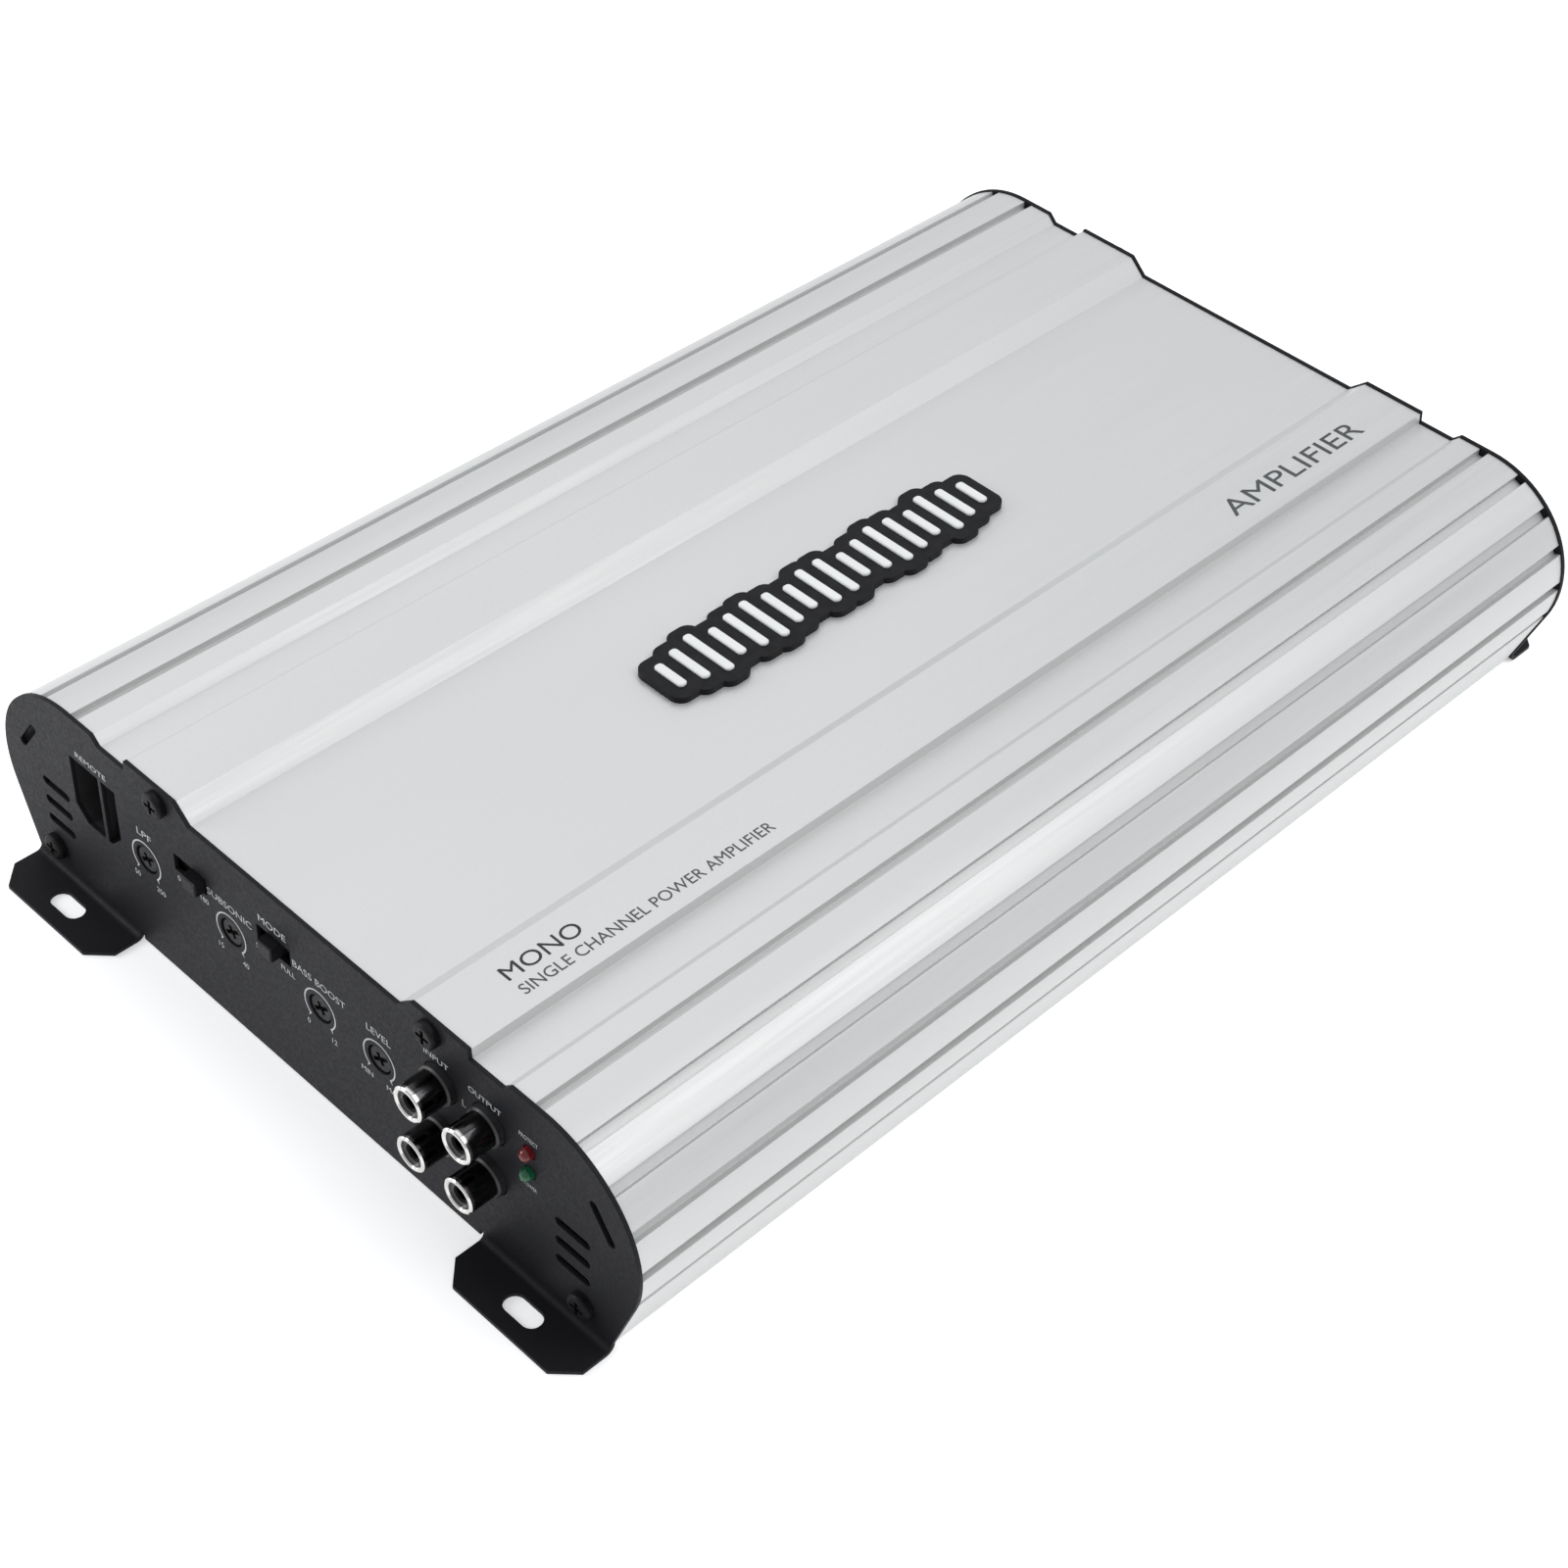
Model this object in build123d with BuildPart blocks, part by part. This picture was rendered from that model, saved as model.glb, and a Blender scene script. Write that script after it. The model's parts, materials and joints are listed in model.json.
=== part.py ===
from build123d import *

import math
import os

# A single-channel car amplifier. +X runs along the control panel, left to right as one faces it, +Y runs
# along the extruded hood away from the control panel, and +Z is up. The origin is on the surface the feet
# stand on, midway between the four feet. Millimetres throughout.

# ---------------------------------------------------------------- driving dimensions
LENGTH = 308.0  # the extruded hood, end to end
SHEET = 1.0  # steel of the two end panels
PROUD = 0.4  # the panels stand this far outside the hood's outline

PLATEAU_Z = 51.2  # flat top between the raised strips
STRIP_Z = 55.2  # raised strips
NOTCH_Z = 52.5  # floor of the notch beside each strip
SLOPE_FOOT_X = 33.6
SLOPE_TOP_X = 38.1
STRIP_EDGE_X = 55.0
STEP_LEAN = 0.3  # the strip's outer wall leans outwards a little
RAMP_FOOT_X = 64.8  # the notch's floor ramps up to the shoulder
RAMP_TOP_X = 67.0
CURVE_X = 76.3  # centre of the rounded sides
CURVE_Z = 28.0
CURVE_R = 26.6
CURVE_SWEEP = 110.0  # from straight up, over the side, until it leans inwards
HOOD_BOTTOM_Z = 1.0

WALL = 4.8  # hood wall at the rounded sides
CEILING_Z = 47.0
CHANNEL_WIDTH = 2.5
CHANNEL_DEPTH = 1.8
FIRST_CHANNEL_X = 74.3
CHANNEL_ANGLES = (21, 43, 65, 87, 108)  # degrees from straight up, round the curve

RIB_X = 66.0  # inner ribs that carry the transistors
RIB_THICK = 4.0
RIB_BOTTOM_Z = 15.0
RIB_MILLED = 26.0  # ribs are cut back this far at each end

PANEL_BOTTOM_Z = 2.5  # where the feet's bends start
BEND_RELIEF = 1.0  # the panel's middle reaches lower, this far clear of each foot
FOOT_INNER_X = 57.6
FOOT_REACH = 13.5  # from the hood's end to the foot's outer edge
FOOT_CHAMFER = 5.0
BEND_R = 1.5
SLOT_X = 76.8
SLOT_INSET = 6.2  # from the foot's outer edge
SLOT_LENGTH = 10.0
SLOT_WIDTH = 5.0

UPPER_SCREW = (43.7, 51.4)
LOWER_SCREW = (87.6, 8.0)
SCREW_CORE_R = 1.5
SCREW_PLAY = 0.3
BOSS_R = 4.6
PANEL_HEAD_R = 3.2
PANEL_HEAD = 2.0
PANEL_SCREW_LENGTH = 12.0
PANEL_RECESS = (3.8, 1.2)  # width and depth of the cross

COVER_THICK = 1.2
COVER_HALF_X = 87.6
LEDGE_X = 78.0
LEDGE_THICK = 3.2
COVER_SCREW_X = 82.0
COVER_SCREW_R = 1.25
COVER_HEAD_R = 2.6
COVER_HEAD = 0.9
COVER_SCREW_YS = (-132, -44, 44, 132)

BOARD_Z = 9.0
BOARD_THICK = 1.6
BOARD_HALF_X = 76.0
BOARD_HALF_Y = 152.5
BOARD_SCREWS = ((70, 134), (70, 48), (70, -48), (70, -134))
BOARD_TOP = BOARD_Z + BOARD_THICK
BOARD_SCREW_R = 1.2
STANDOFF_R = 3.0
INNER_HEAD_R = 2.6
INNER_HEAD = 1.8

# control panel, positions as (x, z)
KNOB_Z = 29.5
KNOBS = {"knob_crossover": -51.1, "knob_subsonic": -21.6, "knob_boost": 7.9, "knob_level": 26.8}
KNOB_HOLE_R = 3.6
KNOB_R = 3.3
SHAFT_R = 2.0
RUNNING_GAP = 0.05
SWITCH_Z = 37.3
PHASE_SWITCH_X = -34.6
MODE_SWITCH_X = -6.5
SWITCH_WINDOW = (11.0, 4.8)
SWITCH_THROW = 2.6  # either way from the window's middle
RCA_XS = (46.1, 60.5)
RCA_ZS = (23.7, 38.7)
RCA_SHELL_R = 4.2
RCA_COLLAR_R = 4.8
LED_X = 72.4
LEDS = {"led_protect": 40.7, "led_power": 34.7}
LED_R = 1.5
SOCKET_LEFT = (-76.8, -66.5)  # left window of the remote socket
SOCKET_RIGHT = (-65.4, -60.4)
SOCKET_ZS = (24.8, 42.7)
SOCKET_CHAMFER = 3.8
VENT_X = 84.6
VENT_ZS = (15.8, 21.5, 27.2)
SLANT_VENT = (93.0, 37.6)
SLANT_ANGLE = 54.0

# back panel
BLOCK_BOTTOM_Z = 13.0
BLOCK_TOP_Z = 36.0
TERMINAL_PITCH = 17.0
TERMINAL_Z = 24.5
POWER_XS = (-20.0, -3.0, 14.0)
SPEAKER_XS = (44.0, 61.0)
BARRIER = 2.5
TERMINAL_SCREW_R = 2.0
FUSE_XS = (-71.0, -58.0, -45.0)
FUSE_PITCH = 13.0
FUSE_SIZE = (5.1, 19.1)  # along X and Z
FUSE_Z = 24.5

# ---------------------------------------------------------------- worked out from them
END = LENGTH / 2  # |y| of the hood's ends and of the panels' inner faces
FACE = END + SHEET  # |y| of the panels' outer faces
FOOT_END = END + FOOT_REACH
SHOULDER_Z = CURVE_Z + CURVE_R
LEAN = math.radians(CURVE_SWEEP - 90)
SLOT_Y = FOOT_END - SLOT_INSET
SIDES = (-1, 1)

os.makedirs("parts", exist_ok=True)


def wall(y):
    """An upright plane at y whose own x is +X and whose own y is +Z. Extrusions run towards -Y."""
    return Plane.XZ.offset(-y)


def lean_point(radius, z):
    """Where the straight lower flank, tangent to a side curve of this radius, is at height z."""
    x = CURVE_X + radius * math.cos(LEAN)
    start_z = CURVE_Z - radius * math.sin(LEAN)
    return (x - math.tan(LEAN) * (start_z - z), z)


def outline(grow, bottom_z):
    """The hood's outer outline, grown outwards, closed along bottom_z. Used inside a BuildSketch."""
    radius = CURVE_R + grow
    foot = lean_point(radius, bottom_z)
    with BuildLine() as edge:
        Polyline(
            (0, PLATEAU_Z + grow),
            (SLOPE_FOOT_X, PLATEAU_Z + grow),
            (SLOPE_TOP_X, STRIP_Z + grow),
            (STRIP_EDGE_X, STRIP_Z + grow),
            (STRIP_EDGE_X + STEP_LEAN, NOTCH_Z + grow),
            (RAMP_FOOT_X, NOTCH_Z + grow),
            (RAMP_TOP_X, SHOULDER_Z + grow),
            (CURVE_X, SHOULDER_Z + grow),
        )
        CenterArc((CURVE_X, CURVE_Z), radius, 90, -CURVE_SWEEP)
        Line(lean_point(radius, CURVE_Z - radius * math.sin(LEAN)), foot)
        mirror(about=Plane.YZ)
        Line((-foot[0], foot[1]), foot)
    make_face(edge.edges())


def cavity(bottom_z):
    """The hollow under the hood, cut from the sketch it is drawn in."""
    radius = CURVE_R - WALL
    foot = lean_point(radius, bottom_z)
    with BuildLine() as edge:
        Polyline(
            (0, CEILING_Z),
            (RAMP_FOOT_X - 1, CEILING_Z),
            (RAMP_TOP_X, CURVE_Z + radius),
            (CURVE_X, CURVE_Z + radius),
        )
        CenterArc((CURVE_X, CURVE_Z), radius, 90, -CURVE_SWEEP)
        Line(lean_point(radius, CURVE_Z - radius * math.sin(LEAN)), foot)
        mirror(about=Plane.YZ)
        Line((-foot[0], foot[1]), foot)
    make_face(edge.edges(), mode=Mode.SUBTRACT)


def mirrored(points):
    """Each (x, z) point and its mirror image across the middle plane."""
    return [(side * x, z) for side in SIDES for x, z in points]


def cross_recess(plane, places, width, depth):
    """A cross-head recess cut into the faces of screws at these places."""
    with BuildSketch(plane) as cross:
        with Locations(*places):
            Rectangle(width, width / 4.5)
            Rectangle(width / 4.5, width)
    extrude(cross.sketch, amount=-depth, mode=Mode.SUBTRACT)


def write(piece, name):
    """Labels a finished sub-part and writes it."""
    piece.label = name
    export_step(piece, f"parts/{name}.step")


# ---------------------------------------------------------------- hood
CLAMP_SCREW_YS = [-76.5 + 34 * i for i in range(6)]
CLAMP_Z = 25.0
CLAMP_SCREW_R = 1.4
RIB_INNER_X = RIB_X - RIB_THICK / 2

with BuildPart() as heatsink_shell:
    with BuildSketch(wall(END)):
        outline(0, HOOD_BOTTOM_Z)
        cavity(HOOD_BOTTOM_Z)
        for side in SIDES:
            with Locations((side * FIRST_CHANNEL_X, SHOULDER_Z - CHANNEL_DEPTH / 2 + 0.5)):
                Rectangle(CHANNEL_WIDTH, CHANNEL_DEPTH + 1, mode=Mode.SUBTRACT)
            for angle in CHANNEL_ANGLES:
                reach = CURVE_R - CHANNEL_DEPTH / 2 + 0.5
                x = side * (CURVE_X + reach * math.sin(math.radians(angle)))
                z = CURVE_Z + reach * math.cos(math.radians(angle))
                with Locations((x, z)):
                    Rectangle(CHANNEL_WIDTH, CHANNEL_DEPTH + 1, rotation=-side * angle, mode=Mode.SUBTRACT)
            ledge_end = lean_point(CURVE_R, HOOD_BOTTOM_Z)[0] - 2
            with Locations((side * (LEDGE_X + ledge_end) / 2, HOOD_BOTTOM_Z + COVER_THICK + LEDGE_THICK / 2)):
                Rectangle(ledge_end - LEDGE_X, LEDGE_THICK)
            with Locations((side * RIB_X, (RIB_BOTTOM_Z + SHOULDER_Z - WALL + 0.8) / 2)):
                Rectangle(RIB_THICK, SHOULDER_Z - WALL + 0.8 - RIB_BOTTOM_Z)
        with Locations(*mirrored([LOWER_SCREW])):
            Circle(BOSS_R)
        with Locations(*mirrored([UPPER_SCREW, LOWER_SCREW])):
            Circle(SCREW_CORE_R, mode=Mode.SUBTRACT)
    extrude(amount=LENGTH)
    with BuildSketch(Plane.XY.offset(RIB_BOTTOM_Z - 1)):
        with Locations(*[(sx * RIB_X, sy * (END - RIB_MILLED / 2)) for sx in SIDES for sy in SIDES]):
            Rectangle(RIB_THICK + 1, RIB_MILLED)
    extrude(amount=CEILING_Z - RIB_BOTTOM_Z + 1, mode=Mode.SUBTRACT)
    with BuildSketch(Plane.XY.offset(HOOD_BOTTOM_Z)):
        with Locations(*[(side * COVER_SCREW_X, y) for side in SIDES for y in COVER_SCREW_YS]):
            Circle(COVER_SCREW_R + 0.05)
    extrude(amount=COVER_THICK + LEDGE_THICK + 1, mode=Mode.SUBTRACT)
    with BuildSketch(Plane.YZ.offset(-RIB_X - RIB_THICK)):
        with Locations(*[(y, CLAMP_Z) for y in CLAMP_SCREW_YS]):
            Circle(CLAMP_SCREW_R)
    extrude(amount=2 * (RIB_X + RIB_THICK), mode=Mode.SUBTRACT)
write(heatsink_shell.part, "heatsink_shell")

# ---------------------------------------------------------------- bottom cover
with BuildPart() as bottom_cover:
    with BuildSketch(Plane.XY.offset(HOOD_BOTTOM_Z)):
        Rectangle(2 * COVER_HALF_X, LENGTH)
        with Locations(*[(side * COVER_SCREW_X, y) for side in SIDES for y in COVER_SCREW_YS]):
            Circle(COVER_SCREW_R + 0.25, mode=Mode.SUBTRACT)
    extrude(amount=COVER_THICK)
write(bottom_cover.part, "bottom_cover")

with BuildPart() as bottom_cover_screws:
    spots = [(side * COVER_SCREW_X, y) for side in SIDES for y in COVER_SCREW_YS]
    with BuildSketch(Plane.XY.offset(HOOD_BOTTOM_Z - COVER_HEAD)):
        with Locations(*spots):
            Circle(COVER_HEAD_R)
    extrude(amount=COVER_HEAD)
    with BuildSketch(Plane.XY.offset(HOOD_BOTTOM_Z)):
        with Locations(*spots):
            Circle(COVER_SCREW_R)
    extrude(amount=COVER_THICK + LEDGE_THICK)
    fillet(bottom_cover_screws.edges().group_by(Axis.Z)[0], 0.4)
    cross_recess(Plane.XY.offset(HOOD_BOTTOM_Z - COVER_HEAD).rotated((180, 0, 0)), spots, COVER_HEAD_R, 0.6)
write(bottom_cover_screws.part, "bottom_cover_screws")

# ---------------------------------------------------------------- end panels
FOOT_WIDTH = lean_point(CURVE_R + PROUD, PANEL_BOTTOM_Z)[0] - FOOT_INNER_X

with BuildPart() as panel_blank:
    with BuildSketch(wall(-END)):
        outline(PROUD, PANEL_BOTTOM_Z)
        with Locations((0, (HOOD_BOTTOM_Z + BLOCK_BOTTOM_Z) / 2)):
            Rectangle(2 * (FOOT_INNER_X - BEND_RELIEF), BLOCK_BOTTOM_Z - HOOD_BOTTOM_Z)
        with Locations(*mirrored([UPPER_SCREW, LOWER_SCREW])):
            Circle(SCREW_CORE_R + SCREW_PLAY, mode=Mode.SUBTRACT)
    extrude(amount=SHEET)

# each foot carries on from its panel's lower edge, round a bend and out along the mounting surface
with BuildPart() as front_feet:
    for start_x in (FOOT_INNER_X, -FOOT_INNER_X - FOOT_WIDTH):
        with BuildSketch(Plane.YZ.offset(start_x)):
            with BuildLine():
                bend = (-END - PANEL_BOTTOM_Z, PANEL_BOTTOM_Z)
                CenterArc(bend, BEND_R + SHEET, 0, -90)
                Polyline(
                    (bend[0], 0),
                    (-FOOT_END, 0),
                    (-FOOT_END, SHEET),
                    (bend[0], SHEET),
                )
                CenterArc(bend, BEND_R, -90, 90)
                Line((bend[0] + BEND_R, bend[1]), (bend[0] + BEND_R + SHEET, bend[1]))
            make_face()
        extrude(amount=FOOT_WIDTH)
    chamfer(front_feet.edges().filter_by(Axis.Z).group_by(Axis.Y)[0], FOOT_CHAMFER)
    with BuildSketch(Plane.XY):
        with Locations((-SLOT_X, -SLOT_Y), (SLOT_X, -SLOT_Y)):
            SlotOverall(SLOT_LENGTH, SLOT_WIDTH)
    extrude(amount=SHEET, mode=Mode.SUBTRACT)
write(front_feet.part, "front_feet")

with BuildPart() as rear_feet:
    mirror(front_feet.part, about=Plane.XZ)
write(rear_feet.part, "rear_feet")


def socket_windows():
    """The two windows of the remote socket, each with its outer lower corner cut off."""
    low, high = SOCKET_ZS
    left, web_left = SOCKET_LEFT
    web_right, right = SOCKET_RIGHT
    Polygon(
        (left, high),
        (left, low + SOCKET_CHAMFER),
        (left + SOCKET_CHAMFER, low),
        (web_left, low),
        (web_left, high),
        align=None,
    )
    Polygon(
        (right, high),
        (web_right, high),
        (web_right, low),
        (right - SOCKET_CHAMFER, low),
        (right, low + SOCKET_CHAMFER),
        align=None,
    )


def vents():
    """Three level slots and a slanted one at each end of a panel."""
    for side in SIDES:
        with Locations(*[(side * VENT_X, z) for z in VENT_ZS]):
            SlotOverall(10, 2.4)
        with Locations((side * SLANT_VENT[0], SLANT_VENT[1])):
            SlotOverall(10.6, 2.2, rotation=-side * SLANT_ANGLE)


RCA_PLACES = [(x, z) for x in RCA_XS for z in RCA_ZS]

with BuildPart() as front_panel:
    add(panel_blank.part)
    with BuildSketch(wall(-END)):
        socket_windows()
        vents()
        with Locations(*[(x, KNOB_Z) for x in KNOBS.values()]):
            Circle(KNOB_HOLE_R)
        with Locations((PHASE_SWITCH_X, SWITCH_Z), (MODE_SWITCH_X, SWITCH_Z)):
            Rectangle(*SWITCH_WINDOW)
        with Locations(*RCA_PLACES):
            Circle(RCA_COLLAR_R + 0.2)
        with Locations(*[(LED_X, z) for z in LEDS.values()]):
            Circle(LED_R + 0.2)
    extrude(amount=SHEET, mode=Mode.SUBTRACT)
write(front_panel.part, "front_panel")

BLOCK_Z = (BLOCK_BOTTOM_Z + BLOCK_TOP_Z) / 2
FUSE_BLOCK_WIDTH = 3 * FUSE_PITCH + 3


def block_width(xs):
    """Outside width of a terminal block with a cell at each of these places."""
    return TERMINAL_PITCH * len(xs) + BARRIER


with BuildPart() as rear_panel:
    mirror(panel_blank.part, about=Plane.XZ)
    with BuildSketch(wall(FACE)):
        vents()
        for xs in (POWER_XS, SPEAKER_XS):
            with Locations(((xs[0] + xs[-1]) / 2, BLOCK_Z)):
                Rectangle(block_width(xs) + 0.4, BLOCK_TOP_Z - BLOCK_BOTTOM_Z + 0.4)
        with Locations((FUSE_XS[1], FUSE_Z)):
            Rectangle(FUSE_BLOCK_WIDTH + 0.4, BLOCK_TOP_Z - BLOCK_BOTTOM_Z + 0.4)
    extrude(amount=SHEET, mode=Mode.SUBTRACT)
write(rear_panel.part, "rear_panel")


def panel_screws(name, side):
    """The four pan-head screws of one end panel; side is -1 at the front and 1 at the back."""
    spots = mirrored([UPPER_SCREW, LOWER_SCREW])
    with BuildPart() as screws:
        with BuildSketch(wall(side * FACE)):
            with Locations(*spots):
                Circle(PANEL_HEAD_R)
        extrude(amount=-side * PANEL_HEAD)
        outer = screws.edges().group_by(Axis.Y)[0 if side < 0 else -1]
        fillet(outer, 0.9)
        with BuildSketch(wall(side * FACE)):
            with Locations(*spots):
                Circle(SCREW_CORE_R - RUNNING_GAP)
        extrude(amount=side * PANEL_SCREW_LENGTH)
        cross_recess(wall(side * (FACE + PANEL_HEAD)), spots, PANEL_RECESS[0], -side * PANEL_RECESS[1])
    write(screws.part, name)


panel_screws("front_panel_screws", -1)
panel_screws("rear_panel_screws", 1)

# ---------------------------------------------------------------- badge
BADGE_THICK = 1.6
BADGE_MARGIN = 3.2
BAR_WIDTH = 2.4
BAR_PITCH = 5.8
HALF_BARS = (9.0, 12.0, 15.2, 11.0, 13.5, 15.2, 12.5, 10.0, 14.0)
BAR_HEIGHTS = HALF_BARS + tuple(reversed(HALF_BARS))
BAR_RAISE = 0.7
BAR_CORNER = 1.0
BARS = [((i - (len(BAR_HEIGHTS) - 1) / 2) * BAR_PITCH, height) for i, height in enumerate(BAR_HEIGHTS)]

with BuildPart() as badge_plate:
    with BuildSketch(Plane.XY.offset(PLATEAU_Z)):
        for y, height in BARS:
            with Locations((0, y)):
                RectangleRounded(height + 2 * BADGE_MARGIN, BAR_WIDTH + 2 * BADGE_MARGIN, BADGE_MARGIN)
    extrude(amount=BADGE_THICK)
write(badge_plate.part, "badge_plate")

with BuildPart() as badge_inlay:
    with BuildSketch(Plane.XY.offset(PLATEAU_Z + BADGE_THICK)):
        for y, height in BARS:
            with Locations((0, y)):
                RectangleRounded(height, BAR_WIDTH, BAR_CORNER)
    extrude(amount=BAR_RAISE)
    chamfer(badge_inlay.faces().sort_by(Axis.Z)[-len(BARS):].edges(), 0.25)
write(badge_inlay.part, "badge_inlay")

# ---------------------------------------------------------------- boards
BOARD_SPOTS = [(side * x, y) for side in SIDES for x, y in BOARD_SCREWS]

with BuildPart() as main_board:
    with BuildSketch(Plane.XY.offset(BOARD_Z)):
        Rectangle(2 * BOARD_HALF_X, 2 * BOARD_HALF_Y)
        with Locations(*BOARD_SPOTS):
            Circle(BOARD_SCREW_R + SCREW_PLAY, mode=Mode.SUBTRACT)
    extrude(amount=BOARD_THICK)
write(main_board.part, "main_board")

with BuildPart() as board_standoffs:
    with BuildSketch(Plane.XY.offset(HOOD_BOTTOM_Z + COVER_THICK)):
        with Locations(*BOARD_SPOTS):
            RegularPolygon(STANDOFF_R, 6)
            Circle(BOARD_SCREW_R + RUNNING_GAP, mode=Mode.SUBTRACT)
    extrude(amount=BOARD_Z - HOOD_BOTTOM_Z - COVER_THICK)
write(board_standoffs.part, "board_standoffs")

CONTROL_FRONT = -END + 8.9  # y of the control board's front face
CONTROL_TOP_Z = 45.5
CONTROL_XS = (-57.0, 34.5)

with BuildPart() as control_board:
    with BuildSketch(wall(CONTROL_FRONT + BOARD_THICK)):
        with Locations((sum(CONTROL_XS) / 2, (BOARD_TOP + CONTROL_TOP_Z) / 2)):
            Rectangle(CONTROL_XS[1] - CONTROL_XS[0], CONTROL_TOP_Z - BOARD_TOP)
    extrude(amount=BOARD_THICK)
write(control_board.part, "control_board")

# ---------------------------------------------------------------- RCA jacks
RCA_TIP = FACE + 8.5  # |y| of the shells' mouths
RCA_TOP_Z = 45.7
RCA_WIDTH = 29.6
RCA_HOUSING_DEPTH = 12.0
RCA_COLLAR_TIP = FACE + 1.8
RCA_NECK_R = 3.9  # the shells are a little slimmer inside their collars
RCA_NECK_TIP = RCA_COLLAR_TIP + 0.2
RCA_BORE_R = 3.1
RCA_CONTACT_R = 2.1
RCA_PIN_R = 1.65
RCA_CORE_ROOT = END + 0.6  # |y| where the insulators and contacts begin

with BuildPart() as rca_housing:
    with BuildSketch(wall(-END + RCA_HOUSING_DEPTH)):
        with Locations((sum(RCA_XS) / 2, (BOARD_TOP + RCA_TOP_Z) / 2)):
            Rectangle(RCA_WIDTH, RCA_TOP_Z - BOARD_TOP)
    extrude(amount=RCA_HOUSING_DEPTH)
write(rca_housing.part, "rca_housing")


def ring_places(outer_r, inner_r):
    """A ring at each jack, for the sketch that is open."""
    with Locations(*RCA_PLACES):
        Circle(outer_r)
        Circle(inner_r, mode=Mode.SUBTRACT)


with BuildPart() as rca_collars:
    with BuildSketch(wall(-END)):
        ring_places(RCA_COLLAR_R, RCA_NECK_R)
    extrude(amount=RCA_COLLAR_TIP - END)
    mouths = rca_collars.edges().group_by(Axis.Y)[0]
    chamfer(mouths.filter_by(lambda edge: edge.radius > RCA_SHELL_R), 0.4)
write(rca_collars.part, "rca_collars")

with BuildPart() as rca_shells:
    with BuildSketch(wall(-END)):
        ring_places(RCA_NECK_R, RCA_BORE_R)
    extrude(amount=RCA_NECK_TIP - END)
    with BuildSketch(wall(-RCA_NECK_TIP)):
        ring_places(RCA_SHELL_R, RCA_BORE_R)
    extrude(amount=RCA_TIP - RCA_NECK_TIP)
    chamfer(rca_shells.edges().group_by(Axis.Y)[0], 0.3)
write(rca_shells.part, "rca_shells")


def rca_tubes(name, outer_r, inner_r, tip):
    """Four plain tubes, one inside each jack's shell, out to a tip at |y|."""
    with BuildPart() as tubes:
        with BuildSketch(wall(-RCA_CORE_ROOT)):
            ring_places(outer_r, inner_r)
        extrude(amount=tip - RCA_CORE_ROOT)
    write(tubes.part, name)


rca_tubes("rca_insulators", RCA_BORE_R, RCA_CONTACT_R, RCA_TIP - 0.8)
rca_tubes("rca_contacts", RCA_CONTACT_R, RCA_PIN_R, RCA_TIP - 1.4)

# ---------------------------------------------------------------- level controls
POT_FACE = -END + 1.2  # y of the potentiometers' front faces
KNOB_BACK = POT_FACE - 0.5
KNOB_FRONT = -FACE + 0.3
POT_SHAFT_DEPTH = 5.0

with BuildPart() as potentiometer_bodies:
    pots = [(x, KNOB_Z) for x in KNOBS.values()]
    with BuildSketch(wall(CONTROL_FRONT)):
        with Locations(*pots):
            RectangleRounded(10, 10, 0.8)
    extrude(amount=CONTROL_FRONT - POT_FACE)
    with BuildSketch(wall(POT_FACE + POT_SHAFT_DEPTH + 0.3)):
        with Locations(*pots):
            Circle(SHAFT_R + RUNNING_GAP)
    extrude(amount=POT_SHAFT_DEPTH + 0.3, mode=Mode.SUBTRACT)
write(potentiometer_bodies.part, "potentiometer_bodies")


def level_knob(name, x):
    """A screwdriver-slot knob that lies just inside its hole in the panel."""
    with BuildPart() as knob:
        with BuildSketch(wall(POT_FACE + POT_SHAFT_DEPTH)):
            with Locations((x, KNOB_Z)):
                Circle(SHAFT_R)
        extrude(amount=POT_FACE + POT_SHAFT_DEPTH - KNOB_BACK)
        with BuildSketch(wall(KNOB_BACK)):
            with Locations((x, KNOB_Z)):
                Circle(KNOB_R)
        extrude(amount=KNOB_BACK - KNOB_FRONT)
        chamfer(knob.edges().group_by(Axis.Y)[0], 0.3)
        with BuildSketch(wall(KNOB_FRONT)):
            with Locations((x, KNOB_Z)):
                Rectangle(5.0, 1.1, rotation=30)
                Rectangle(1.1, 3.4, rotation=30)
        extrude(amount=-0.9, mode=Mode.SUBTRACT)
    write(knob.part, name)


for knob_name, knob_x in KNOBS.items():
    level_knob(knob_name, knob_x)

# ---------------------------------------------------------------- slide switches
STEM = (3.0, 2.4)
STEM_GAP = 0.3
STEM_DEPTH = 4.5
LEVER = (4.6, 3.6)
LEVER_TIP = -FACE - 2.6

with BuildPart() as switch_bodies:
    switches = [(PHASE_SWITCH_X, SWITCH_Z), (MODE_SWITCH_X, SWITCH_Z)]
    with BuildSketch(wall(CONTROL_FRONT)):
        with Locations(*switches):
            RectangleRounded(14, 7.6, 0.6)
    extrude(amount=CONTROL_FRONT - POT_FACE)
    with BuildSketch(wall(POT_FACE + STEM_DEPTH + STEM_GAP)):
        with Locations(*switches):
            Rectangle(STEM[0] + 2 * SWITCH_THROW + 2 * STEM_GAP, STEM[1] + 2 * STEM_GAP)
    extrude(amount=STEM_DEPTH + STEM_GAP, mode=Mode.SUBTRACT)
write(switch_bodies.part, "switch_bodies")


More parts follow.
